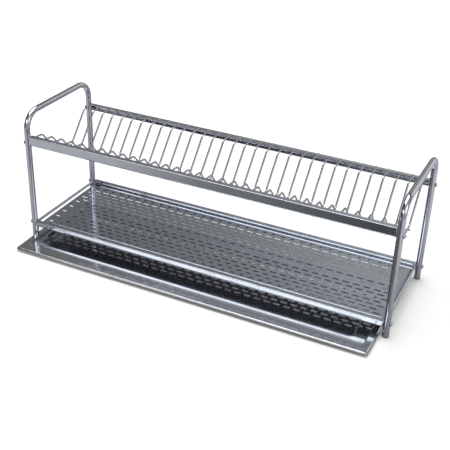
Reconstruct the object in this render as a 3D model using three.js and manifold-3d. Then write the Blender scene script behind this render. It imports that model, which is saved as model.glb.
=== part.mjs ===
// Two-tier dish drainer: tube end frames, folded rails, 32 plate wires, a slotted cup shelf
// and a shallow drip tray that slides out on the worktop. Millimetres, +X right, +Y back, +Z up.
import * as THREE from 'three';
import { mergeVertices } from 'three/addons/utils/BufferGeometryUtils.js';
import Module from 'manifold-3d';

// Rack
const rackWidth = 860; // between the leg axes, left to right
const rackDepth = 245; // between the leg axes, front to back
const rackHeight = 312; // floor to the crown of the top tubes
const contactGap = 0.3; // between pieces that rest on or bear against each other
const cutOverrun = 2; // how far a cutting body runs past what it cuts

// End frames
const tubeDiameter = 14;
const tubeWall = 1;
const tubeBend = 39; // radius of the tube's axis at the two bends
const tubeSides = 12;
const tubeBoreSides = 8;
const tubeBendSteps = 5;

// Feet
const footSole = 4; // thickness below the tube's end
const footStem = 12; // length of the stem inside the tube
const footChamfer = 2;
const footSides = 12;

// Rails
const railSheet = 1.2; // thickness of the folded sheet
const lowerRailHeight = 14.5;
const upperRailFlange = 12; // depth of the top flange
const lowerRailFlange = 9;
const railEdge = 1; // bevel of the top fold
const railTuck = 4; // slanted strip at the foot of the face, as high as it is deep
const railRecess = 1; // the rail's face lies this far behind the front of the tube
const upperRailReturn = 8; // depth of the bottom flange of the plate rails
const lowerRailReturn = 26; // depth of the bottom flange that carries the cup shelf
const upperFrontRailTop = 254;
const upperRearRailTop = 246.5;
const upperRailFoot = 231.5;
const lowerRailTop = 37.5;
const endPlate = 2; // thickness of the plate welded into each end
const endPlateDepth = 12;

// Bolts
const upperBoltHeight = 236.5;
const lowerBoltHeight = 33;
const boltDiameter = 5;
const boltHeadDiameter = 9;
const boltHeadRise = 3;
const boltGrip = 8; // length of shank past the leg
const boltSides = 8;
const boltDomeSteps = 2;

// Plate wires and the rods below them
const wireCount = 32;
const wireSide = 7.6; // from the outermost wire's axis to the legs
const wireDiameter = 5;
const wireBend = 13;
const wireSides = 6;
const wireBendSteps = 2;
const frontOverlap = 8; // length of wire under the front rail's flange
const rearOverlap = 3.5; // length of wire on the rear rail's flange
const wireLead = 2; // level run past the front rail's flange
const wireDip = 2.2; // fall from there to the top of the cradle
const wireFloor = 180; // height of the wire's axis at the bottom of the cradle
const frontRun = 36; // run from the wire's front end to its first bend
const rearRun = 38.5;
const cradleFront = 32.5; // front bottom bend ahead of the rack's middle
const cradleRear = 21; // rear bottom bend behind it
const rodDiameter = 4;
const frontRodInset = 20.5; // from the front bottom bend towards the middle, under the wire's level run
const rearRodInset = 5;
const rodOverhang = 3; // past the outermost wires
const rodSides = 8;

// Side bars
const sideBarDiameter = 6;
const sideBarInset = 6; // from the legs' plane towards the middle
const sideBarHeight = 35;

// Cup shelf
const shelfSheet = 1;
const shelfTop = 31;
const shelfSide = 5; // clearance between the shelf and the legs
const shelfFit = 12.5; // clearance between the shelf and the rails' top flanges
const slotLength = 16;
const slotWidth = 4;
const slotSideMargin = 18.5; // from the shelf's side edge to the first slot's middle
const slotRowMargin = 10.4; // from the shelf's front edge to the first row
const slotRows = 8;
const slotColumns = 35;

// Drip tray
const traySideGap = 3; // between the tray and the legs on each side, when it lies in the middle
const trayDepth = 262;
const trayPulled = 86; // front edge ahead of the front legs' axes
const trayTop = 10;
const traySheet = 1;
const trayRim = 6; // height of the turned-down edge
const trayRimBevel = 2.5;
const trayCornerRadius = 6;
const panSideFlange = 15;
const panEndFlange = 18;
const panCornerRadius = 20;
const panDraft = 2;
const ledgeHeight = 5;
const ledgeSide = 29;
const ledgeEnd = 28;
const recessCornerRadius = 10;
const recessDraft = 2.5;
const traySteps = 4; // facets in each rounded corner

// Places worked out from the sizes above
const halfWidth = rackWidth / 2;
const halfDepth = rackDepth / 2;
const tubeRadius = tubeDiameter / 2;
const legTop = rackHeight - tubeRadius;
const legInner = halfWidth - tubeRadius;
const railHalfLength = legInner - contactGap;
const railFace = halfDepth + tubeRadius - railRecess;
const wireRadius = wireDiameter / 2;
const outerWire = legInner - wireSide;
const wirePitch = 2 * outerWire / (wireCount - 1);
const flangeEdge = railFace - upperRailFlange;
const frontWireTop = upperFrontRailTop - railSheet - contactGap - wireRadius;
const rearWireTop = upperRearRailTop + contactGap + wireRadius;
const frontWireEnd = flangeEdge + frontOverlap;
const rearWireEnd = flangeEdge + rearOverlap;
const trayHalfWidth = legInner - traySideGap;
const trayMiddle = contactGap - traySideGap; // the tray lies against the left legs
const trayFront = -halfDepth - trayPulled;
const trayBack = trayFront + trayDepth;
const rackBack = halfDepth + tubeRadius;
const middleY = (trayFront + Math.max(trayBack, rackBack)) / 2;

const steel = { color: 0xb4b8bf, roughness: 0.16, metalness: 1 };
const sheetSteel = { color: 0x9a9da6, roughness: 0.24, metalness: 1 };
const footPlastic = { color: 0x74777f, roughness: 0.45, metalness: 0 };

const wasm = await Module();
wasm.setup();

const drainer = new THREE.Group();
drainer.position.y = -middleY;

function addPiece(name, geometry, look) {
  const piece = new THREE.Mesh(geometry, new THREE.MeshStandardMaterial(look));
  piece.name = name;
  drainer.add(piece);
  return piece;
}

// Booleans

function toSolid(geometry) {
  const bare = geometry.clone();
  bare.deleteAttribute('normal');
  bare.deleteAttribute('uv');
  const merged = mergeVertices(bare);
  return new wasm.Manifold(new wasm.Mesh({
    numProp: 3,
    vertProperties: new Float32Array(merged.attributes.position.array),
    triVerts: new Uint32Array(merged.index.array),
  }));
}

function toGeometry(solid) {
  const mesh = solid.getMesh();
  const geometry = new THREE.BufferGeometry();
  geometry.setAttribute('position', new THREE.BufferAttribute(mesh.vertProperties, mesh.numProp));
  geometry.setIndex(new THREE.BufferAttribute(mesh.triVerts, 1));
  geometry.computeVertexNormals();
  return geometry;
}

function join(geometries) {
  return toGeometry(geometries.map(toSolid).reduce((whole, part) => whole.add(part)));
}

function cut(geometry, cutters) {
  return toGeometry(cutters.map(toSolid).reduce((whole, cutter) => whole.subtract(cutter), toSolid(geometry)));
}

// Outlines and bent paths

function circlePoints(radius, sides) {
  const turn = 2 * Math.PI / sides;
  return Array.from({ length: sides }, (_, i) => new THREE.Vector2(
    radius * Math.cos(turn * i), radius * Math.sin(turn * i)));
}

function rectanglePoints(halfX, halfY) {
  return [[-halfX, -halfY], [halfX, -halfY], [halfX, halfY], [-halfX, halfY]]
    .map(([x, y]) => new THREE.Vector2(x, y));
}

function disc(radius, sides) {
  return new THREE.Shape(circlePoints(radius, sides));
}

// A path of straight runs and round bends, with a section at the ends and through each bend only
class BentPath extends THREE.Curve {
  constructor(corners, bendRadius, bendSteps) {
    super();
    this.stations = [];
    const last = corners.length - 1;
    const heading = (i) => corners[i + 1].clone().sub(corners[i]).normalize();
    this.stations.push({ point: corners[0], tangent: heading(0) });
    for (let i = 1; i < last; i += 1) {
      const before = heading(i - 1);
      const after = heading(i);
      const angle = before.angleTo(after);
      const axis = before.clone().cross(after).normalize();
      const start = corners[i].clone().addScaledVector(before, -bendRadius * Math.tan(angle / 2));
      const inward = axis.clone().cross(before);
      const centre = start.clone().addScaledVector(inward, bendRadius);
      for (let step = 0; step <= bendSteps; step += 1) {
        const turned = angle * step / bendSteps;
        const spoke = inward.clone().negate().applyAxisAngle(axis, turned);
        this.stations.push({
          point: centre.clone().addScaledVector(spoke, bendRadius),
          tangent: before.clone().applyAxisAngle(axis, turned),
        });
      }
    }
    this.stations.push({ point: corners[last], tangent: heading(last - 1) });
  }

  station(share) {
    return this.stations[Math.round(share * (this.stations.length - 1))];
  }

  getPointAt(share) {
    return this.station(share).point.clone();
  }

  getTangentAt(share) {
    return this.station(share).tangent.clone();
  }
}

function sweep(shape, path) {
  return new THREE.ExtrudeGeometry(shape, { steps: path.stations.length - 1, extrudePath: path });
}

function rodAlongX(radius, sides, fromX, toX, y, z) {
  return new THREE.ExtrudeGeometry(disc(radius, sides), { depth: toX - fromX, bevelEnabled: false })
    .rotateY(Math.PI / 2).translate(fromX, y, z);
}

// End frames: one bent tube each, open at the feet, drilled for the bolts

function boltPlaces() {
  const levels = [['upper', upperBoltHeight], ['lower', lowerBoltHeight]];
  const rows = [['front', -halfDepth], ['rear', halfDepth]];
  return levels.flatMap(([level, z]) => rows.map(([row, y]) => ({ name: `${level}_${row}`, y, z })));
}

function endFrame(side) {
  const x = side * halfWidth;
  const path = new BentPath([
    new THREE.Vector3(x, -halfDepth, footSole),
    new THREE.Vector3(x, -halfDepth, legTop),
    new THREE.Vector3(x, halfDepth, legTop),
    new THREE.Vector3(x, halfDepth, footSole),
  ], tubeBend, tubeBendSteps);
  const section = disc(tubeRadius, tubeSides);
  section.holes.push(new THREE.Path(circlePoints(tubeRadius - tubeWall, tubeBoreSides)));
  const drills = boltPlaces().map(({ y, z }) => rodAlongX(
    boltDiameter / 2 + contactGap, boltSides,
    x - tubeRadius - cutOverrun, x + tubeRadius + cutOverrun, y, z));
  return cut(sweep(section, path), drills);
}

function foot() {
  const bore = (tubeRadius - tubeWall) * Math.cos(Math.PI / tubeBoreSides) - contactGap;
  const profile = [
    [0, 0], [tubeRadius - footChamfer, 0], [tubeRadius, footChamfer], [tubeRadius, footSole],
    [bore, footSole], [bore, footSole + footStem], [0, footSole + footStem],
  ].map(([r, z]) => new THREE.Vector2(r, z));
  return new THREE.LatheGeometry(profile, footSides).rotateX(Math.PI / 2);
}

function bolt(side) {
  const head = boltHeadDiameter / 2;
  const shank = boltDiameter / 2;
  const seat = halfWidth + tubeRadius + contactGap;
  const dome = Array.from({ length: boltDomeSteps }, (_, i) => {
    const turned = (i + 1) / (boltDomeSteps + 1) * Math.PI / 2;
    return [head * Math.cos(turned), seat + boltHeadRise * Math.sin(turned)];
  });
  const tip = legInner - boltGrip;
  const profile = [[0, tip], [shank, tip], [shank, seat], [head, seat], ...dome, [0, seat + boltHeadRise]]
    .map(([r, x]) => new THREE.Vector2(r, x));
  const geometry = new THREE.LatheGeometry(profile, boltSides).rotateZ(-Math.PI / 2);
  return side < 0 ? geometry.rotateZ(Math.PI) : geometry;
}

for (const [word, side] of [['left', -1], ['right', 1]]) {
  addPiece(`${word}_end_frame`, endFrame(side), steel);
  for (const { name, y, z } of boltPlaces()) {
    addPiece(`${name}_${word}_bolt`, bolt(side), steel).position.set(0, y, z);
  }
  for (const [place, y] of [['front', -halfDepth], ['rear', halfDepth]]) {
    addPiece(`${place}_${word}_foot`, foot(), footPlastic).position.set(side * halfWidth, y, 0);
  }
}

// Rails: the same fold four times, open towards the middle of the rack

function railOutline({ height, flange, returnDepth }) {
  const t = railSheet;
  const low = -height;
  const slant = t * Math.tan(Math.PI / 8);
  return [
    [flange, 0], [railEdge, 0], [0, -railEdge], [0, low + railTuck], [railTuck, low],
    [returnDepth, low], [returnDepth, low + t], [railTuck + slant, low + t],
    [t, low + railTuck + slant], [t, -t], [flange, -t],
  ];
}

function railAcross(outline, side, top, fromX, toX) {
  const points = outline.map(([inward, z]) => new THREE.Vector2(-z - top, side * (railFace - inward)));
  return new THREE.ExtrudeGeometry(new THREE.Shape(points), { depth: toX - fromX, bevelEnabled: false })
    .rotateY(Math.PI / 2).translate(fromX, 0, 0);
}

// A rail with a drilled plate welded inside each end, let into half the sheet's thickness
function rail(side, fold) {
  const { top, height, boltHeight } = fold;
  const weld = railSheet / 2;
  const slant = weld * Math.tan(Math.PI / 8);
  const low = -height;
  const plateOutline = [
    [endPlateDepth - weld, -weld], [weld, -weld], [weld, low + railTuck + slant],
    [railTuck + slant, low + weld], [endPlateDepth - weld, low + weld],
  ];
  const outer = railHalfLength - weld;
  const inner = outer - endPlate;
  const whole = join([
    railAcross(railOutline(fold), side, top, -railHalfLength, railHalfLength),
    railAcross(plateOutline, side, top, -outer, -inner),
    railAcross(plateOutline, side, top, inner, outer),
  ]);
  const hole = (fromX, toX) => rodAlongX(boltDiameter / 2 + contactGap, boltSides,
    fromX - cutOverrun, toX + cutOverrun, side * halfDepth, boltHeight);
  return cut(whole, [hole(-outer, -inner), hole(inner, outer)]);
}

const shelfRail = {
  top: lowerRailTop, height: lowerRailHeight, flange: lowerRailFlange, returnDepth: lowerRailReturn,
  boltHeight: lowerBoltHeight,
};
for (const [place, side, top] of [['front', -1, upperFrontRailTop], ['rear', 1, upperRearRailTop]]) {
  const plateRail = {
    top, height: top - upperRailFoot, flange: upperRailFlange, returnDepth: upperRailReturn,
    boltHeight: upperBoltHeight,
  };
  addPiece(`upper_${place}_rail`, rail(side, plateRail), steel);
  addPiece(`lower_${place}_rail`, rail(side, shelfRail), steel);
}

// Plate wires, each bent in its own upright plane, on two long rods

function plateWire(x) {
  const corners = [
    [-frontWireEnd, frontWireTop], [wireLead - flangeEdge, frontWireTop],
    [-frontWireEnd + frontRun, frontWireTop - wireDip], [-cradleFront, wireFloor], [cradleRear, wireFloor],
    [rearWireEnd - rearRun, rearWireTop], [rearWireEnd, rearWireTop],
  ].map(([y, z]) => new THREE.Vector3(x, y, z));
  return sweep(disc(wireRadius, wireSides), new BentPath(corners, wireBend, wireBendSteps));
}

for (let i = 0; i < wireCount; i += 1) {
  const number = String(i + 1).padStart(2, '0');
  addPiece(`plate_wire_${number}`, plateWire(wirePitch * i - outerWire), steel);
}

const rodEnd = outerWire + wireRadius + rodOverhang;
const rodHeight = wireFloor - wireRadius - contactGap - rodDiameter / 2;
for (const [place, y] of [['front', frontRodInset - cradleFront], ['rear', cradleRear - rearRodInset]]) {
  const rod = rodAlongX(rodDiameter / 2, rodSides, -rodEnd, rodEnd, y, rodHeight);
  addPiece(`${place}_cradle_rod`, rod, steel);
}

// Side bars, welded between the front and rear legs

function sideBar(side) {
  const legHalfChord = Math.sqrt(tubeRadius ** 2 - (sideBarInset - sideBarDiameter / 2) ** 2);
  const reach = halfDepth - legHalfChord - contactGap;
  return new THREE.ExtrudeGeometry(disc(sideBarDiameter / 2, rodSides), { depth: 2 * reach, bevelEnabled: false })
    .rotateX(Math.PI / 2).translate(side * (halfWidth - sideBarInset), reach, sideBarHeight);
}

addPiece('left_side_bar', sideBar(-1), steel);
addPiece('right_side_bar', sideBar(1), steel);

// Cup shelf: a slotted sheet with turned-down edges that stand on the lower rails

function shelfSlots(halfX, halfY) {
  const pitch = 2 * (halfX - slotSideMargin) / (slotColumns - 1);
  const rowPitch = 2 * (halfY - slotRowMargin) / (slotRows - 1);
  const slots = [];
  for (let row = 0; row < slotRows; row += 1) {
    const odd = row % 2;
    const y = rowPitch * (row - (slotRows - 1) / 2);
    for (let column = 0; column < slotColumns - odd; column += 1) {
      const x = pitch * (column - (slotColumns - 1 - odd) / 2);
      const corners = rectanglePoints(slotLength / 2, slotWidth / 2);
      slots.push(new THREE.Shape(corners.map((p) => p.add(new THREE.Vector2(x, y)))));
    }
  }
  return new THREE.ExtrudeGeometry(slots, { depth: shelfSheet + 2 * cutOverrun, bevelEnabled: false })
    .translate(0, 0, shelfTop - shelfSheet - cutOverrun);
}

function block(halfX, halfY, low, high) {
  return new THREE.BoxGeometry(2 * halfX, 2 * halfY, high - low).translate(0, 0, (low + high) / 2);
}

function cupShelf() {
  const halfX = legInner - shelfSide;
  const halfY = railFace - lowerRailFlange - shelfFit;
  const skirtFoot = lowerRailTop - lowerRailHeight + railSheet + contactGap;
  const hollow = block(halfX - shelfSheet, halfY - shelfSheet, skirtFoot - cutOverrun, shelfTop - shelfSheet);
  return cut(block(halfX, halfY, skirtFoot, shelfTop), [hollow, shelfSlots(halfX, halfY)]);
}

addPiece('cup_shelf', cupShelf(), sheetSteel);

// Drip tray: one pressed sheet, drawn twice, skinned through level rounded rectangles

function trayRing(inset, radius, z) {
  const { side, end } = inset;
  const reach = trayHalfWidth - side - radius;
  const right = trayMiddle + reach;
  const left = trayMiddle - reach;
  const front = trayFront + end + radius;
  const back = trayBack - end - radius;
  const corners = [[right, front, -1], [right, back, 0], [left, back, 1], [left, front, 2]];
  return corners.flatMap(([x, y, quarter]) => Array.from({ length: traySteps + 1 }, (_, i) => {
    const angle = (quarter + i / traySteps) * Math.PI / 2;
    return new THREE.Vector3(x + radius * Math.cos(angle), y + radius * Math.sin(angle), z);
  }));
}

function skin(rings) {
  const around = rings[0].length;
  const points = rings.flat();
  const centre = (ring) => ring.reduce((sum, p) => sum.add(p), new THREE.Vector3()).divideScalar(around);
  points.push(centre(rings[0]), centre(rings[rings.length - 1]));
  const index = [];
  for (let j = 0; j < around; j += 1) {
    const next = (j + 1) % around;
    index.push(points.length - 2, j, next);
    for (let i = 0; i < rings.length - 1; i += 1) {
      const inner = i * around;
      const outer = inner + around;
      index.push(inner + j, outer + j, outer + next, inner + j, outer + next, inner + next);
    }
    const last = (rings.length - 1) * around;
    index.push(points.length - 1, last + next, last + j);
  }
  const geometry = new THREE.BufferGeometry().setFromPoints(points);
  geometry.setIndex(index);
  geometry.computeVertexNormals();
  return geometry;
}

function dripTray() {
  const t = traySheet;
  const inset = (side, end, extra) => ({ side: side + extra, end: end + extra });
  const edgeRing = (extra, z) => trayRing(inset(0, 0, extra), trayCornerRadius - extra, z);
  const fold = trayRimBevel + t * Math.tan(Math.PI / 8);
  const pan = (extra) => inset(panSideFlange, panEndFlange, extra);
  const recess = (extra) => inset(panSideFlange + ledgeSide, panEndFlange + ledgeEnd, extra);
  return skin([
    trayRing(recess(recessDraft), recessCornerRadius - recessDraft, t),
    trayRing(recess(0), recessCornerRadius, ledgeHeight),
    trayRing(pan(panDraft), panCornerRadius - panDraft, ledgeHeight),
    trayRing(pan(0), panCornerRadius, trayTop),
    edgeRing(trayRimBevel, trayTop),
    edgeRing(0, trayTop - trayRimBevel),
    edgeRing(0, trayTop - trayRim),
    edgeRing(t, trayTop - trayRim),
    edgeRing(t, trayTop - fold),
    edgeRing(fold, trayTop - t),
    trayRing(pan(-t), panCornerRadius + t, trayTop - t),
    trayRing(pan(panDraft - t), panCornerRadius - panDraft + t, ledgeHeight - t),
    trayRing(recess(-t), recessCornerRadius + t, ledgeHeight - t),
    trayRing(recess(recessDraft - t), recessCornerRadius - recessDraft + t, 0),
  ]);
}

addPiece('drip_tray', dripTray(), sheetSteel);

export default drainer;
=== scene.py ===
# Two-tier dish drainer in steel: bent tubes, folded rails, plate wires, slotted shelf, drip tray
import math
import bmesh
import bpy
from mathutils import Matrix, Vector


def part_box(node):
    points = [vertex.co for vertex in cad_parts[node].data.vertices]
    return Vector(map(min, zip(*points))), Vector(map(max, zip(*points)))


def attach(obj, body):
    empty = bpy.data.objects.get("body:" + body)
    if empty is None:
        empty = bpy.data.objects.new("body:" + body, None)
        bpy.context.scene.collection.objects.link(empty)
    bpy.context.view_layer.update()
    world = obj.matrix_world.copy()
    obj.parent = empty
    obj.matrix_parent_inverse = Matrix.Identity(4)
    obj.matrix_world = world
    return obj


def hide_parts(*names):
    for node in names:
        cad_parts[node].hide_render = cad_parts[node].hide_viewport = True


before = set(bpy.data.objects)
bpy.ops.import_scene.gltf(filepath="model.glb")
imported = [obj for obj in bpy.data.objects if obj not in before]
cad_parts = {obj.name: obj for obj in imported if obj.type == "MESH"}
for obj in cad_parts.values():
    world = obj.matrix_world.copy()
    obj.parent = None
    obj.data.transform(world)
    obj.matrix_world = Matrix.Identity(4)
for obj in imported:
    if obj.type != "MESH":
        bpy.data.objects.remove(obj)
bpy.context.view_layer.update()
bpy.ops.object.select_all(action="DESELECT")
print("frame loaded:", len(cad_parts), "nodes")

mm = 0.001
quarterTurn = math.pi / 2


# Selecting by place, in edit mode
slack = 0.05 * mm
sameSpot = 0.001 * mm


def middleOf(part):
    corners = [corner.co for corner in part.verts]
    return sum(corners, Vector()) / len(corners)


def pick(piece, kind, test):
    bpy.ops.mesh.select_mode(type=kind)
    bpy.ops.mesh.select_all(action="DESELECT")
    mesh = bmesh.from_edit_mesh(piece.data)
    parts = {"VERT": mesh.verts, "EDGE": mesh.edges, "FACE": mesh.faces}[kind]
    for part in parts:
        if test(part):
            part.select_set(True)
    mesh.select_flush_mode()
    bmesh.update_edit_mesh(piece.data)


def near(value, target, within=slack):
    return abs(value - target) < within


def pickCap(piece, axis, place):
    pick(piece, "FACE", lambda face: len(face.verts) > 4 and near(middleOf(face)[axis], place))


# Starting and finishing a piece

def startSheet(low, high, height):
    bpy.ops.object.select_all(action="DESELECT")
    size = (high[0] - low[0], high[1] - low[1], 1)
    place = ((low[0] + high[0]) / 2, (low[1] + high[1]) / 2, height)
    bpy.ops.mesh.primitive_plane_add(size=1, location=place)
    piece = bpy.context.object
    piece.scale = size
    bpy.ops.object.transform_apply(location=True, rotation=True, scale=True)
    bpy.ops.object.mode_set(mode="EDIT")
    return piece


def startRound(place, radius, sides, turn=(0, 0, 0)):
    bpy.ops.object.select_all(action="DESELECT")
    bpy.ops.mesh.primitive_circle_add(vertices=sides, radius=radius, location=place, rotation=turn)
    piece = bpy.context.object
    bpy.ops.object.transform_apply(location=True, rotation=True, scale=True)
    bpy.ops.object.mode_set(mode="EDIT")
    bpy.ops.mesh.select_mode(type="EDGE")
    bpy.ops.mesh.select_all(action="SELECT")
    return piece


def pull(step):
    bpy.ops.mesh.extrude_region_move(TRANSFORM_OT_translate={"value": step})


def facingOut():
    bpy.ops.mesh.select_all(action="SELECT")
    bpy.ops.mesh.remove_doubles(threshold=sameSpot)
    bpy.ops.mesh.normals_make_consistent(inside=False)


def faceUp(piece, rank):
    bpy.ops.mesh.select_all(action="SELECT")
    mesh = bmesh.from_edit_mesh(piece.data)
    if max(mesh.faces, key=rank).normal.z < 0:
        bpy.ops.mesh.flip_normals()


def closeEnds():
    bpy.ops.mesh.select_all(action="SELECT")
    bpy.ops.mesh.fill_holes(sides=0)


def addModifier(piece, kind, **settings):
    modifier = piece.modifiers.new(kind.lower(), kind)
    for key, value in settings.items():
        setattr(modifier, key, value)
    bpy.ops.object.modifier_apply(modifier=modifier.name)


def thicken(piece, wall):
    addModifier(piece, "SOLIDIFY", thickness=wall, offset=-1, use_even_offset=True)


def easeEdges(piece, width, segments, limit):
    addModifier(piece, "BEVEL", width=width, segments=segments, limit_method="ANGLE",
                angle_limit=math.radians(limit), use_clamp_overlap=True)


def onlyActive(piece):
    bpy.ops.object.select_all(action="DESELECT")
    piece.select_set(True)
    bpy.context.view_layer.objects.active = piece


def hand(piece, name, body, finish, nodes, smooth=40):
    onlyActive(piece)
    bpy.ops.object.shade_smooth_by_angle(angle=math.radians(smooth))
    addModifier(piece, "WEIGHTED_NORMAL", mode="FACE_AREA", weight=100, keep_sharp=True)
    piece.name = name
    piece.data.name = name
    piece.data.materials.clear()
    piece.data.materials.append(finish)
    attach(piece, body)
    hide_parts(*nodes)
    piece.select_set(False)


def copyOf(piece, shift):
    onlyActive(piece)
    bpy.ops.object.duplicate(linked=False)
    twin = bpy.context.object
    twin.location = shift
    bpy.ops.object.transform_apply(location=True, rotation=True, scale=True)
    return twin


def joinInto(piece, others):
    onlyActive(piece)
    for other in others:
        other.select_set(True)
    bpy.ops.object.join()


# Following a bent line in an upright plane: corners are (y, z)

def followPath(x, corners, bendRadius, bendSteps):
    here = Vector(corners[0])
    for index in range(1, len(corners) - 1):
        corner = Vector(corners[index])
        before = (corner - Vector(corners[index - 1])).normalized()
        after = (Vector(corners[index + 1]) - corner).normalized()
        turn = before.angle_signed(after)
        reach = bendRadius * math.tan(abs(turn) / 2)
        start = corner - before * reach
        pull((0, start.x - here.x, start.y - here.y))
        side = Vector((before.y, -before.x)) * math.copysign(bendRadius, turn)
        centre = start + side
        bpy.ops.mesh.spin(
            steps=bendSteps, angle=turn, center=(x, centre.x, centre.y), axis=(1, 0, 0))
        here = corner + after * reach
    end = Vector(corners[-1])
    pull((0, end.x - here.x, end.y - here.y))


# Node materials: maths on sockets, and one way to add any other node

class Signal:
    def __init__(self, graph, socket):
        self.graph = graph
        self.socket = socket

    def output(self, name):
        return Signal(self.graph, self.socket.node.outputs[name])

    def maths(self, operation, first, second):
        return self.graph.add("ShaderNodeMath", {"operation": operation}, {0: first, 1: second})

    def __add__(self, other):
        return self.maths("ADD", self, other)

    def __sub__(self, other):
        return self.maths("SUBTRACT", self, other)

    def __rsub__(self, other):
        return self.maths("SUBTRACT", other, self)

    def __mul__(self, other):
        return self.maths("MULTIPLY", self, other)


class Graph:
    def __init__(self, tree):
        self.tree = tree
        self.tree.nodes.clear()

    def add(self, kind, settings=None, sockets=None, out=0):
        node = self.tree.nodes.new(kind)
        for key, value in (settings or {}).items():
            if key == "stops":
                self.setStops(node.color_ramp, value)
            else:
                setattr(node, key, value)
        for key, value in (sockets or {}).items():
            if isinstance(value, Signal):
                self.tree.links.new(value.socket, node.inputs[key])
            else:
                node.inputs[key].default_value = value
        return Signal(self, node.outputs[out] if node.outputs else None)

    def setStops(self, ramp, stops):
        for place, colour in stops[1:-1]:
            ramp.elements.new(place).color = (*colour, 1)
        ramp.elements[0].position = stops[0][0]
        ramp.elements[0].color = (*stops[0][1], 1)
        ramp.elements[-1].position = stops[-1][0]
        ramp.elements[-1].color = (*stops[-1][1], 1)


def newMaterial(name):
    material = bpy.data.materials.new(name)
    material.use_nodes = True
    return material, Graph(material.node_tree)


def blendColour(graph, factor, first, second):
    return graph.add("ShaderNodeMix", {"data_type": "RGBA"}, {0: factor, 6: first, 7: second}, out=2)


# Steel: a bright surface with faint smears, fine grain and a slow waviness in the sheet
steel = {"smearRoughness": 0.08, "smearFrom": 0.45, "smearTo": 0.75, "grainSize": 0.7 * mm,
         "grainRoughness": 0.05, "grainDepth": 0.02 * mm, "grainStrength": 0.15}
tubeLook = {"colour": (0.56, 0.59, 0.65), "smear": (0.49, 0.515, 0.57), "roughness": 0.12,
            "smearSize": 30 * mm, "waveSize": 90 * mm, "wave": 0.03 * mm, "grain": (1, 1, 1)}
sheetLook = {"colour": (0.525, 0.56, 0.625), "smear": (0.46, 0.49, 0.55), "roughness": 0.11,
             "smearSize": 60 * mm, "waveSize": 90 * mm, "wave": 0.05 * mm, "grain": (0.04, 1, 1)}
trayLook = {"colour": (0.565, 0.58, 0.605), "smear": (0.50, 0.51, 0.53), "roughness": 0.11,
            "smearSize": 60 * mm, "waveSize": 90 * mm, "wave": 0.05 * mm, "grain": (0.04, 1, 1)}
wireLook = {"colour": (0.47, 0.455, 0.465), "smear": (0.41, 0.395, 0.405), "roughness": 0.14,
            "smearSize": 30 * mm, "waveSize": 90 * mm, "wave": 0.02 * mm, "grain": (1, 1, 1)}
railLook = {"colour": (0.56, 0.595, 0.65), "smear": (0.50, 0.525, 0.58), "roughness": 0.12,
            "smearSize": 50 * mm, "waveSize": 80 * mm, "wave": 0.05 * mm, "grain": (0.05, 1, 1)}


def steelFinish(name, look):
    material, graph = newMaterial(name)
    place = graph.add("ShaderNodeTexCoord", out=3)
    smear = graph.add("ShaderNodeTexNoise", {}, {
        "Vector": place, "Scale": 1 / look["smearSize"], "Detail": 4.0, "Roughness": 0.6})
    stretched = graph.add("ShaderNodeMapping", {"vector_type": "POINT"}, {
        "Vector": place, "Scale": look["grain"]})
    grain = graph.add("ShaderNodeTexNoise", {}, {
        "Vector": stretched, "Scale": 1 / steel["grainSize"], "Detail": 2.0, "Roughness": 0.5})
    wave = graph.add("ShaderNodeTexNoise", {}, {
        "Vector": place, "Scale": 1 / look["waveSize"], "Detail": 1.0, "Roughness": 0.4})
    spread = steel["smearRoughness"] + steel["grainRoughness"]
    roughness = (smear * steel["smearRoughness"] + grain * steel["grainRoughness"]
                 + (look["roughness"] - spread / 2))
    bumpWave = graph.add("ShaderNodeBump", {}, {
        "Strength": 1.0, "Distance": look["wave"], "Height": wave})
    bumpGrain = graph.add("ShaderNodeBump", {}, {
        "Strength": steel["grainStrength"], "Distance": steel["grainDepth"], "Height": grain,
        "Normal": bumpWave})
    mask = graph.add("ShaderNodeMapRange", {"clamp": True}, {
        "Value": smear, "From Min": steel["smearFrom"], "From Max": steel["smearTo"]})
    colour = blendColour(graph, mask, (*look["colour"], 1), (*look["smear"], 1))
    shader = graph.add("ShaderNodeBsdfPrincipled", {}, {
        "Base Color": colour, "Metallic": 1.0, "Roughness": roughness, "Normal": bumpGrain})
    graph.add("ShaderNodeOutputMaterial", {}, {"Surface": shader})
    return material


# Foot plastic: mid grey with a fine dark speckle
footLook = {"colour": (0.175, 0.178, 0.19), "speck": (0.12, 0.122, 0.13), "speckSize": 1.2 * mm,
            "speckDepth": 0.03 * mm, "speckStrength": 0.3, "speckRoughness": 0.15, "roughness": 0.35}


def footFinish():
    material, graph = newMaterial("grey_plastic")
    place = graph.add("ShaderNodeTexCoord", out=3)
    mottle = graph.add("ShaderNodeTexNoise", {}, {
        "Vector": place, "Scale": 1 / footLook["speckSize"], "Detail": 3.0, "Roughness": 0.6})
    colour = blendColour(graph, mottle, (*footLook["colour"], 1), (*footLook["speck"], 1))
    bump = graph.add("ShaderNodeBump", {}, {
        "Strength": footLook["speckStrength"], "Distance": footLook["speckDepth"], "Height": mottle})
    roughness = mottle * footLook["speckRoughness"] + footLook["roughness"]
    shader = graph.add("ShaderNodeBsdfPrincipled", {}, {
        "Base Color": colour, "Roughness": roughness, "Normal": bump})
    graph.add("ShaderNodeOutputMaterial", {}, {"Surface": shader})
    return material


tubeSteel = steelFinish("tube_steel", tubeLook)
railSteel = steelFinish("rail_steel", railLook)
wireSteel = steelFinish("wire_steel", wireLook)
traySteel = steelFinish("tray_steel", trayLook)
sheetSteel = steelFinish("sheet_steel", sheetLook)
footGrey = footFinish()
print("finishes made")


# End frames: one bent tube each, open at the feet and drilled for the bolts
tube = {"wall": 1 * mm, "bendRadius": 39 * mm, "bendSteps": 16, "sides": 32, "drill": 5.6 * mm,
        "drillSides": 16}


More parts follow.
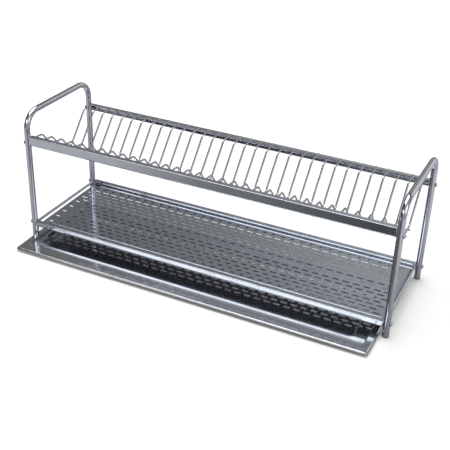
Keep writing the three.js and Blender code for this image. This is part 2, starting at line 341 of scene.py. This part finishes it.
def drillAcross(piece, places, diameter, reach):
    for place in places:
        bpy.ops.object.select_all(action="DESELECT")
        bpy.ops.mesh.primitive_cylinder_add(
            vertices=tube["drillSides"], radius=diameter / 2, depth=reach, location=place,
            rotation=(0, quarterTurn, 0))
        cutter = bpy.context.object
        onlyActive(piece)
        addModifier(piece, "BOOLEAN", object=cutter, operation="DIFFERENCE", solver="EXACT")
        bpy.data.objects.remove(cutter)


def boltPlace(name):
    low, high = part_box(name)
    return (low + high) / 2


def makeEndFrame(side):
    low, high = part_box(f"{side}_end_frame")
    radius = (high.x - low.x) / 2
    x = (low.x + high.x) / 2
    front = low.y + radius
    rear = high.y - radius
    crown = high.z - radius
    piece = startRound((x, front, low.z), radius, tube["sides"])
    corners = [(front, low.z), (front, crown), (rear, crown), (rear, low.z)]
    followPath(x, corners, tube["bendRadius"], tube["bendSteps"])
    facingOut()
    bpy.ops.object.mode_set(mode="OBJECT")
    thicken(piece, tube["wall"])
    places = []
    for bolt in ("upper_front", "upper_rear", "lower_front", "lower_rear"):
        centre = boltPlace(f"{bolt}_{side}_bolt")
        places.append((x, centre.y, centre.z))
    drillAcross(piece, places, tube["drill"], 4 * radius)
    hand(piece, f"{side}_bent_tube", "rack", tubeSteel, [f"{side}_end_frame"])


makeEndFrame("left")
makeEndFrame("right")
print("end frames made")


# Feet: plugs with a rounded sole, pushed into the tube ends
foot = {"sides": 32, "soleRound": 2 * mm, "soleSteps": 5, "stemInset": 1.4 * mm,
        "stemRound": 0.8 * mm, "stemSteps": 2}


def makeFoot(corner):
    low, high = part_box(f"{corner}_foot")
    radius = (high.x - low.x) / 2
    side = corner.split("_")[1]
    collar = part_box(f"{side}_end_frame")[0].z
    bpy.ops.object.select_all(action="DESELECT")
    place = ((low.x + high.x) / 2, (low.y + high.y) / 2, (low.z + collar) / 2)
    bpy.ops.mesh.primitive_cylinder_add(
        vertices=foot["sides"], radius=radius, depth=collar - low.z, location=place)
    piece = bpy.context.object
    bpy.ops.object.transform_apply(location=True, rotation=True, scale=True)
    bpy.ops.object.mode_set(mode="EDIT")
    pickCap(piece, 2, low.z)
    bpy.ops.mesh.bevel(offset=foot["soleRound"], segments=foot["soleSteps"], affect="EDGES")
    pickCap(piece, 2, collar)
    bpy.ops.mesh.inset(thickness=foot["stemInset"])
    pull((0, 0, high.z - collar))
    bpy.ops.mesh.bevel(offset=foot["stemRound"], segments=foot["stemSteps"], affect="EDGES")
    facingOut()
    bpy.ops.object.mode_set(mode="OBJECT")
    hand(piece, f"{corner}_plug", "rack", footGrey, [f"{corner}_foot"])


for corner in ("front_left", "front_right", "rear_left", "rear_right"):
    makeFoot(corner)
print("feet made")


# Bolts: button heads with a small round socket, on the outside of the tubes
bolt = {"sides": 32, "domeRound": 2.2 * mm, "domeSteps": 6, "socket": 1.5 * mm,
        "socketDepth": 1.3 * mm, "seatGap": 0.3 * mm, "shank": 5 * mm, "shankRound": 0.5 * mm,
        "shankSteps": 2}


def makeBolt(name):
    low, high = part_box(name)
    centre = (low + high) / 2
    out = 1 if centre.x > 0 else -1
    radius = (high.z - low.z) / 2
    tubeLow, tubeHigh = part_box("right_end_frame" if out > 0 else "left_end_frame")
    tip = high.x if out > 0 else low.x
    inner = low.x if out > 0 else high.x
    seat = (tubeHigh.x if out > 0 else tubeLow.x) + out * bolt["seatGap"]
    bpy.ops.object.select_all(action="DESELECT")
    bpy.ops.mesh.primitive_cylinder_add(
        vertices=bolt["sides"], radius=radius, depth=abs(tip - seat),
        location=((tip + seat) / 2, centre.y, centre.z), rotation=(0, quarterTurn, 0))
    piece = bpy.context.object
    bpy.ops.object.transform_apply(location=True, rotation=True, scale=True)
    bpy.ops.object.mode_set(mode="EDIT")
    pickCap(piece, 0, tip)
    bpy.ops.mesh.bevel(offset=bolt["domeRound"], segments=bolt["domeSteps"], affect="EDGES")
    pickCap(piece, 0, tip)
    bpy.ops.mesh.inset(thickness=(radius - bolt["domeRound"]) - bolt["socket"])
    pull((-out * bolt["socketDepth"], 0, 0))
    pickCap(piece, 0, seat)
    bpy.ops.mesh.inset(thickness=radius - bolt["shank"] / 2)
    pull((inner - seat, 0, 0))
    bpy.ops.mesh.bevel(offset=bolt["shankRound"], segments=bolt["shankSteps"], affect="EDGES")
    facingOut()
    bpy.ops.object.mode_set(mode="OBJECT")
    hand(piece, name.replace("_bolt", "_screw"), "rack", railSteel, [name])


for node in sorted(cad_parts):
    if node.endswith("_bolt"):
        makeBolt(node)
print("bolts made")


# Rails: one sheet folded to a flange, a face, a slanted tuck and a return, with end plates
rail = {"sheet": 1.2 * mm, "upperFlange": 12 * mm, "lowerFlange": 9 * mm, "tuck": 4 * mm,
        "foldWidth": 0.98 * mm, "foldSteps": 4, "upperReturn": 8 * mm, "lowerReturn": 26 * mm,
        "edge": 0.25 * mm, "plate": 2 * mm, "plateDepth": 12 * mm, "plateEdge": 0.2 * mm}


def makeRail(level, place):
    node = f"{level}_{place}_rail"
    low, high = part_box(node)
    inward = 1 if place == "front" else -1
    face = low.y if place == "front" else high.y
    flangeEdge = face + inward * rail[f"{level}Flange"]
    piece = startSheet((low.x, min(face, flangeEdge)), (high.x, max(face, flangeEdge)), high.z)
    pick(piece, "EDGE", lambda edge: near(middleOf(edge).y, face))
    pull((0, 0, low.z + rail["tuck"] - high.z))
    pull((0, inward * rail["tuck"], -rail["tuck"]))
    pull((0, inward * (rail[f"{level}Return"] - rail["tuck"]), 0))
    facingOut()
    folds = {high.z, low.z + rail["tuck"], low.z}
    middle = (low.x + high.x) / 2

    def onFold(edge):
        centre = middleOf(edge)
        return (not edge.is_boundary and near(centre.x, middle)
                and any(near(centre.z, fold) for fold in folds))

    pick(piece, "EDGE", onFold)
    bpy.ops.mesh.bevel(offset=rail["foldWidth"], segments=rail["foldSteps"], affect="EDGES")
    faceUp(piece, lambda part: middleOf(part).z)
    bpy.ops.object.mode_set(mode="OBJECT")
    thicken(piece, rail["sheet"])
    easeEdges(piece, rail["edge"], segments=2, limit=60)
    joinInto(piece, [makeEndPlate(low, high, inward, face, end) for end in (-1, 1)])
    hand(piece, f"{level}_{place}_folded_rail", "rack", railSteel, [node])


def makeEndPlate(low, high, inward, face, end):
    inset = rail["sheet"] / 2
    outer = (high.x if end > 0 else low.x) - end * inset
    bpy.ops.object.select_all(action="DESELECT")
    bpy.ops.mesh.primitive_cube_add(size=1, location=(
        outer - end * rail["plate"] / 2, face + inward * rail["plateDepth"] / 2,
        (low.z + high.z) / 2))
    plate = bpy.context.object
    plate.scale = (rail["plate"], rail["plateDepth"] - 2 * inset, high.z - low.z - 2 * inset)
    bpy.ops.object.transform_apply(location=True, rotation=True, scale=True)
    bpy.ops.object.mode_set(mode="EDIT")
    cornerY = face + inward * inset
    cornerZ = low.z + inset
    pick(plate, "EDGE", lambda edge: near(middleOf(edge).y, cornerY) and near(middleOf(edge).z, cornerZ))
    bpy.ops.mesh.bevel(offset=rail["tuck"], segments=1, affect="EDGES")
    bpy.ops.object.mode_set(mode="OBJECT")
    easeEdges(plate, rail["plateEdge"], segments=1, limit=30)
    return plate


for level in ("upper", "lower"):
    for place in ("front", "rear"):
        makeRail(level, place)
print("rails made")


# Plate wires: one is bent, and copied along the rails
wire = {"sides": 12, "bendRadius": 13 * mm, "bendSteps": 6, "floor": 180 * mm, "lie": 10 * mm,
        "dip": 2.2 * mm, "frontRun": 36 * mm, "rearRun": 38.5 * mm, "cradleFront": -32.5 * mm,
        "cradleRear": 21 * mm, "rearRest": 2.8 * mm, "endRound": 0.6 * mm}


def makeWires():
    names = sorted(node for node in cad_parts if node.startswith("plate_wire_"))
    low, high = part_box(names[0])
    radius = (high.x - low.x) / 2
    x = (low.x + high.x) / 2
    top = high.z - radius
    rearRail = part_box("upper_rear_rail")
    rearTop = rearRail[1].z + wire["rearRest"]
    middle = (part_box("upper_front_rail")[0].y + rearRail[1].y) / 2
    piece = startRound((x, low.y, top), radius, wire["sides"], (quarterTurn, 0, 0))
    corners = [
        (low.y, top), (low.y + wire["lie"], top), (low.y + wire["frontRun"], top - wire["dip"]),
        (middle + wire["cradleFront"], wire["floor"]), (middle + wire["cradleRear"], wire["floor"]),
        (high.y - wire["rearRun"], rearTop), (high.y, rearTop)]
    followPath(x, corners, wire["bendRadius"], wire["bendSteps"])
    closeEnds()
    facingOut()
    bpy.ops.object.mode_set(mode="OBJECT")
    easeEdges(piece, wire["endRound"], segments=2, limit=60)
    pieces = [piece]
    for name in names[1:]:
        nextLow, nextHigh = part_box(name)
        pieces.append(copyOf(piece, ((nextLow.x + nextHigh.x) / 2 - x, 0, 0)))
    for bent, name in zip(pieces, names):
        hand(bent, name.replace("plate_wire", "bent_wire"), "rack", wireSteel, [name])


makeWires()
print("plate wires made")


# Straight bars: the cradle rods along the rack and the side bars between the legs
bar = {"sides": 16, "endRound": 0.5 * mm}


def makeBar(node, name, along):
    low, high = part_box(node)
    centre = (low + high) / 2
    radius = (high.z - low.z) / 2
    start = Vector(centre)
    start[along] = low[along]
    step = [0, 0, 0]
    step[along] = high[along] - low[along]
    turn = (0, quarterTurn, 0) if along == 0 else (quarterTurn, 0, 0)
    piece = startRound(start, radius, bar["sides"], turn)
    pull(tuple(step))
    closeEnds()
    facingOut()
    bpy.ops.object.mode_set(mode="OBJECT")
    easeEdges(piece, bar["endRound"], segments=2, limit=60)
    hand(piece, name, "rack", tubeSteel, [node])


makeBar("front_cradle_rod", "front_long_rod", 0)
makeBar("rear_cradle_rod", "rear_long_rod", 0)
makeBar("left_side_bar", "left_cross_bar", 1)
makeBar("right_side_bar", "right_cross_bar", 1)
print("rods and bars made")


# Cup shelf: staggered rows of slots pressed into one sheet, with turned-down edges
shelf = {"sheet": 1 * mm, "slotLength": 16 * mm, "slotWidth": 4 * mm, "columns": 35, "rows": 15,
         "sideMargin": 18.5 * mm, "rowMargin": 10.4 * mm, "pressed": 0.35 * mm, "rim": 0.35 * mm,
         "cellFrame": 1 * mm, "slotFlat": 0.2 * mm, "slotSteps": 3, "foldRadius": 1.6 * mm,
         "foldSteps": 4, "seam": 0.01 * mm}


def repeat(piece, count, pitch):
    onlyActive(piece)
    addModifier(piece, "ARRAY", count=count, use_relative_offset=False, use_constant_offset=True,
                constant_offset_displace=pitch, use_merge_vertices=True, merge_threshold=shelf["seam"])


def makeSlotCell(middle, size, height):
    low = (middle[0] - size[0] / 2, middle[1] - size[1] / 2)
    high = (middle[0] + size[0] / 2, middle[1] + size[1] / 2)
    piece = startSheet(low, high, height)
    pick(piece, "EDGE", lambda edge: near(middleOf(edge).x, middle[0]))
    bpy.ops.mesh.subdivide(number_cuts=1)
    bpy.ops.mesh.select_mode(type="FACE")
    bpy.ops.mesh.select_all(action="SELECT")
    bpy.ops.mesh.inset(thickness=shelf["cellFrame"])
    bpy.ops.mesh.dissolve_faces()
    rim = shelf["rim"]
    inner = (size[0] - 2 * shelf["cellFrame"], size[1] - 2 * shelf["cellFrame"])
    wanted = (shelf["slotLength"] + 2 * rim, shelf["slotWidth"] + 2 * rim)
    centre = (middle[0], middle[1], height)
    bpy.ops.transform.resize(
        value=(wanted[0] / inner[0], wanted[1] / inner[1], 1), center_override=centre)
    pick(piece, "VERT", lambda vert: near(abs(vert.co.x - middle[0]), wanted[0] / 2)
         and near(abs(vert.co.y - middle[1]), wanted[1] / 2))
    bpy.ops.mesh.bevel(
        offset=wanted[1] / 2 - shelf["slotFlat"], segments=shelf["slotSteps"], affect="VERTICES")
    pick(piece, "FACE", lambda face: near(middleOf(face).x, middle[0])
         and near(middleOf(face).y, middle[1]))
    bpy.ops.mesh.inset(thickness=rim)
    bpy.ops.transform.translate(value=(0, 0, -shelf["pressed"]))
    bpy.ops.mesh.delete(type="FACE")
    bpy.ops.object.mode_set(mode="OBJECT")
    return piece


def makeShelf():
    low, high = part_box("cup_shelf")
    pitch = (high.x - low.x - 2 * shelf["sideMargin"]) / (shelf["columns"] - 1)
    rowPitch = (high.y - low.y - 2 * shelf["rowMargin"]) / (shelf["rows"] - 1)
    firstX = low.x + shelf["sideMargin"]
    firstY = low.y + shelf["rowMargin"]
    evenRow = makeSlotCell((firstX, firstY), (pitch, rowPitch), high.z)
    oddRow = copyOf(evenRow, (pitch / 2, rowPitch, 0))
    repeat(evenRow, shelf["columns"], (pitch, 0, 0))
    repeat(oddRow, shelf["columns"] - 1, (pitch, 0, 0))
    bpy.ops.object.mode_set(mode="EDIT")
    rightSeam = high.x - shelf["sideMargin"]
    pick(oddRow, "EDGE", lambda edge: near(middleOf(edge).x, firstX))
    pull((-pitch / 2, 0, 0))
    pick(oddRow, "EDGE", lambda edge: near(middleOf(edge).x, rightSeam))
    pull((pitch / 2, 0, 0))
    bpy.ops.object.mode_set(mode="OBJECT")
    joinInto(evenRow, [oddRow])
    piece = evenRow
    pairs = (shelf["rows"] + 1) // 2
    repeat(piece, pairs, (0, 2 * rowPitch, 0))
    bpy.ops.object.mode_set(mode="EDIT")
    lastRow = high.y - shelf["rowMargin"] + rowPitch / 2
    pick(piece, "VERT", lambda vert: vert.co.y > lastRow + slack)
    bpy.ops.mesh.delete(type="VERT")
    bpy.ops.mesh.select_all(action="SELECT")
    bpy.ops.mesh.remove_doubles(threshold=shelf["seam"])
    edges = [(0, firstX - pitch / 2, low.x), (0, rightSeam + pitch / 2, high.x),
             (1, firstY - rowPitch / 2, low.y), (1, lastRow, high.y)]
    for axis, seam, target in edges:
        pick(piece, "EDGE", lambda edge: edge.is_boundary and near(middleOf(edge)[axis], seam)
             and near(edge.verts[0].co[axis], seam))
        step = [0, 0, 0]
        step[axis] = target - seam
        pull(tuple(step))

    def onOuterEdge(edge):
        return any(all(near(vert.co[axis], target) for vert in edge.verts)
                   for axis, seam, target in edges)

    pick(piece, "EDGE", lambda edge: edge.is_boundary and onOuterEdge(edge))
    pull((0, 0, low.z - high.z))
    facingOut()
    faceUp(piece, lambda part: middleOf(part).z + part.calc_area())
    pick(piece, "EDGE", lambda edge: not edge.is_boundary and onOuterEdge(edge)
         and all(near(vert.co.z, high.z) for vert in edge.verts))
    bpy.ops.mesh.bevel(offset=shelf["foldRadius"], segments=shelf["foldSteps"], affect="EDGES")
    bpy.ops.object.mode_set(mode="OBJECT")
    thicken(piece, shelf["sheet"])
    hand(piece, "slotted_shelf_sheet", "shelf", sheetSteel, ["cup_shelf"], smooth=30)


makeShelf()
print("cup shelf made")


# Drip tray: level rings bridged into one sheet, drawn twice and turned down at the edge
tray = {"sheet": 1 * mm, "rim": 6 * mm, "rimRound": 2.5 * mm, "cornerRadius": 6 * mm,
        "panSide": 15 * mm, "panEnd": 18 * mm, "panRadius": 20 * mm, "panDraft": 2 * mm,
        "ledge": 5 * mm, "ledgeSide": 29 * mm, "ledgeEnd": 28 * mm, "recessRadius": 10 * mm,
        "recessDraft": 2.5 * mm, "cornerSteps": 8, "fold": 1.2 * mm, "foldSteps": 3,
        "apart": 0.01 * mm, "within": 0.004 * mm}


def addTrayRing(low, high, side, end, radius, height, keepFace):
    bpy.ops.mesh.select_mode(type="VERT")
    bpy.ops.mesh.select_all(action="DESELECT")
    place = ((low.x + high.x) / 2, (low.y + high.y) / 2, height)
    bpy.ops.mesh.primitive_plane_add(size=1, location=place)
    size = (high.x - low.x - 2 * side, high.y - low.y - 2 * end, 1)
    bpy.ops.transform.resize(value=size, center_override=place)
    bpy.ops.mesh.bevel(offset=radius, segments=tray["cornerSteps"], affect="VERTICES", offset_type="OFFSET")
    if not keepFace:
        bpy.ops.mesh.select_mode(type="FACE")
        bpy.ops.mesh.delete(type="ONLY_FACE")


def makeTray():
    low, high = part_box("drip_tray")
    bpy.ops.object.select_all(action="DESELECT")
    bpy.ops.mesh.primitive_plane_add(size=1, location=(0, 0, 0))
    piece = bpy.context.object
    bpy.ops.object.mode_set(mode="EDIT")
    bpy.ops.mesh.select_all(action="SELECT")
    bpy.ops.mesh.delete(type="VERT")
    recessSide = tray["panSide"] + tray["ledgeSide"]
    recessEnd = tray["panEnd"] + tray["ledgeEnd"]
    top = high.z
    rings = [
        (recessSide + tray["recessDraft"], recessEnd + tray["recessDraft"],
         tray["recessRadius"] - tray["recessDraft"], tray["sheet"]),
        (recessSide, recessEnd, tray["recessRadius"], tray["ledge"]),
        (tray["panSide"] + tray["panDraft"], tray["panEnd"] + tray["panDraft"],
         tray["panRadius"] - tray["panDraft"], tray["ledge"] + 2 * tray["apart"]),
        (tray["panSide"], tray["panEnd"], tray["panRadius"], top),
        (tray["rimRound"], tray["rimRound"], tray["cornerRadius"] - tray["rimRound"],
         top - tray["apart"]),
        (0, 0, tray["cornerRadius"], top - tray["rimRound"]),
        (0, 0, tray["cornerRadius"], top - tray["rim"])]
    for index, (side, end, radius, height) in enumerate(rings):
        addTrayRing(low, high, side, end, radius, height, index == 0)
    heights = [ring[-1] for ring in rings]

    def levelAt(edge, height):
        return all(near(vert.co.z, height, tray["within"]) for vert in edge.verts)

    for inner, outer in zip(heights, heights[1:]):
        pick(piece, "EDGE", lambda edge: levelAt(edge, inner) or levelAt(edge, outer))
        bpy.ops.mesh.bridge_edge_loops()
    facingOut()
    faceUp(piece, lambda part: part.calc_area())
    pick(piece, "EDGE", lambda edge: not edge.is_boundary
         and any(levelAt(edge, height) for height in heights[:-1]))
    bpy.ops.mesh.bevel(offset=tray["fold"], segments=tray["foldSteps"], affect="EDGES")
    bpy.ops.object.mode_set(mode="OBJECT")
    thicken(piece, tray["sheet"])
    hand(piece, "pressed_drip_tray", "tray", traySteel, ["drip_tray"], smooth=30)


makeTray()
print("drip tray made")


# Floor and studio: a white background, a pale floor whose tone in the steel's reflections is graded by
# place as painted light and shade, and the graded room that the steel mirrors
studio = {"floorHalf": 4, "floorTone": 0.9, "sky": 0.42, "camera": (0.72698, -1.51627, 1.05762),
          "turn": (60.3532, -1.7197, 25.7844), "lens": 69.65, "sensor": 36, "lift": 0.08,
          "farLift": 1.0, "liftFrom": 0.7, "liftTo": 1.6, "lampAim": (0, 0, 0.1)}
room = {"start": 0.6, "end": -0.6,
        "front": [(-0.9, 0.06), (-0.6, 0.10), (-0.3, 0.16), (0.0, 0.45), (0.3, 0.65), (0.6, 0.5),
                  (1.0, 0.35)],
        "back": [(-0.9, 0.14), (-0.62, 0.19), (-0.40, 0.27), (-0.18, 0.50), (-0.05, 0.30), (0.08, 0.25),
                 (0.25, 0.90), (0.5, 0.90), (0.7, 0.35), (1.0, 0.45)],
        "frontHeight": [(0.0, 0.8), (0.12, 1.0), (1.0, 1.0)],
        "backHeight": [(0.0, 0.8), (0.12, 1.0), (0.56, 1.0), (0.66, 0.45), (0.75, 0.22), (1.0, 0.25)]}
# Floor tone as glossy rays see it is painted light and shade, graded by place and darkest at the front just
# right of the middle, standing in for uneven lamplight on the floor
floorPaintedLight = {"start": 0.2, "end": -0.45,
             "front": [(-1.0, 0.50), (-0.8, 0.55), (-0.5, 0.50), (-0.2, 0.24), (0.30, 0.08), (0.38, 0.10),
                       (0.5, 0.30), (0.75, 0.65)],
             "back": [(-1.0, 0.50), (-0.6, 0.33), (0.0, 0.30), (0.5, 0.45), (1.0, 0.75)]}


def ramp(graph, value, points):
    share = graph.add("ShaderNodeMapRange", {"clamp": True}, {
        "Value": value, "From Min": -1.0, "From Max": 1.0})
    stops = [((place + 1) / 2, (tone, tone, tone)) for place, tone in points]
    colour = graph.add("ShaderNodeValToRGB", {"stops": stops}, {"Fac": share})
    return graph.add("ShaderNodeRGBToBW", {}, {"Color": colour})


def fade(graph, value, start, end):
    return graph.add("ShaderNodeMapRange", {"clamp": True, "interpolation_type": "SMOOTHSTEP"}, {
        "Value": value, "From Min": start, "From Max": end})


def gradedTone(graph, place, look):
    split = graph.add("ShaderNodeSeparateXYZ", {}, {"Vector": place})
    front = ramp(graph, split.output("X"), look["front"])
    back = ramp(graph, split.output("X"), look["back"])
    if "frontHeight" in look:
        front = front * ramp(graph, split.output("Z"), look["frontHeight"])
        back = back * ramp(graph, split.output("Z"), look["backHeight"])
    share = fade(graph, split.output("Y"), look["start"], look["end"])
    return back * (1 - share) + front * share


def makeFloor():
    bpy.ops.object.select_all(action="DESELECT")
    bpy.ops.mesh.primitive_plane_add(size=2 * studio["floorHalf"], location=(0, 0, 0))
    floor = bpy.context.object
    floor.name = "studio_floor"
    material, graph = newMaterial("floor_white")
    path = graph.add("ShaderNodeLightPath")
    place = graph.add("ShaderNodeTexCoord", out=3)
    tone = studio["floorTone"]
    # For glossy rays the floor colour follows the graded tones above, as painted light and shade seen only
    # in reflections, on top of the real lamplight and shadow; other rays see the even floor tone
    shade = path.output("Is Glossy Ray") * (gradedTone(graph, place, floorPaintedLight) - tone) + tone
    colour = graph.add("ShaderNodeCombineColor", {}, {"Red": shade, "Green": shade, "Blue": shade})
    matt = graph.add("ShaderNodeBsdfDiffuse", {}, {"Color": colour})
    distance = graph.add("ShaderNodeVectorMath", {"operation": "LENGTH"}, {0: place}).output("Value")
    far = fade(graph, distance, studio["liftFrom"], studio["liftTo"])
    raised = far * (studio["farLift"] - studio["lift"]) + studio["lift"]
    lift = (path.output("Is Camera Ray") + path.output("Is Transmission Ray")) * raised
    glow = graph.add("ShaderNodeCombineColor", {}, {"Red": lift, "Green": lift, "Blue": lift})
    light = graph.add("ShaderNodeEmission", {}, {"Color": glow, "Strength": 1.0})
    both = graph.add("ShaderNodeAddShader", {}, {0: matt, 1: light})
    graph.add("ShaderNodeOutputMaterial", {}, {"Surface": both})
    floor.data.materials.append(material)


def makeWorld():
    world = bpy.data.worlds.new("studio")
    bpy.context.scene.world = world
    world.use_nodes = True
    graph = Graph(world.node_tree)
    path = graph.add("ShaderNodeLightPath")
    direction = graph.add("ShaderNodeTexCoord")
    shown = (path.output("Is Camera Ray") + path.output("Is Transmission Ray")
             + path.output("Is Glossy Ray") * gradedTone(graph, direction, room))
    plain = graph.add("ShaderNodeBackground", {}, {"Color": (1, 1, 1, 1), "Strength": studio["sky"]})
    dark = graph.add("ShaderNodeBackground", {}, {"Color": (0, 0, 0, 1), "Strength": 0.0})
    white = graph.add("ShaderNodeBackground", {}, {"Color": (1, 1, 1, 1), "Strength": 1.0})
    base = graph.add("ShaderNodeMixShader", {}, {0: path.output("Is Glossy Ray"), 1: plain, 2: dark})
    whole = graph.add("ShaderNodeMixShader", {}, {0: shown, 1: base, 2: white})
    graph.add("ShaderNodeOutputWorld", {}, {"Surface": whole})


lamps = {"top_softbox": {"place": (-0.5, 0.3, 2.4), "size": (2.2, 2.2), "power": 54},
         "front_softbox": {"place": (-0.9, -2.6, 1.8), "size": (2.4, 0.7), "power": 15},
         "right_softbox": {"place": (2.1, -0.8, 1.2), "size": (1.2, 1.2), "power": 9}}


def makeLamp(name, place, size, power):
    light = bpy.data.lights.new(name, "AREA")
    light.shape = "RECTANGLE"
    light.size = size[0]
    light.size_y = size[1]
    light.energy = power
    lamp = bpy.data.objects.new(name, light)
    bpy.context.scene.collection.objects.link(lamp)
    lamp.location = place
    aim = Vector(studio["lampAim"]) - Vector(place)
    lamp.rotation_euler = aim.to_track_quat("-Z", "Y").to_euler()


def makeCamera():
    data = bpy.data.cameras.new("studio_camera")
    data.lens = studio["lens"]
    data.sensor_width = studio["sensor"]
    camera = bpy.data.objects.new("studio_camera", data)
    bpy.context.scene.collection.objects.link(camera)
    camera.location = studio["camera"]
    camera.rotation_euler = [math.radians(angle) for angle in studio["turn"]]
    bpy.context.scene.camera = camera


makeFloor()
makeWorld()
for name, values in lamps.items():
    makeLamp(name, values["place"], values["size"], values["power"])
makeCamera()
bpy.context.scene.view_settings.view_transform = "Standard"
print("studio made")
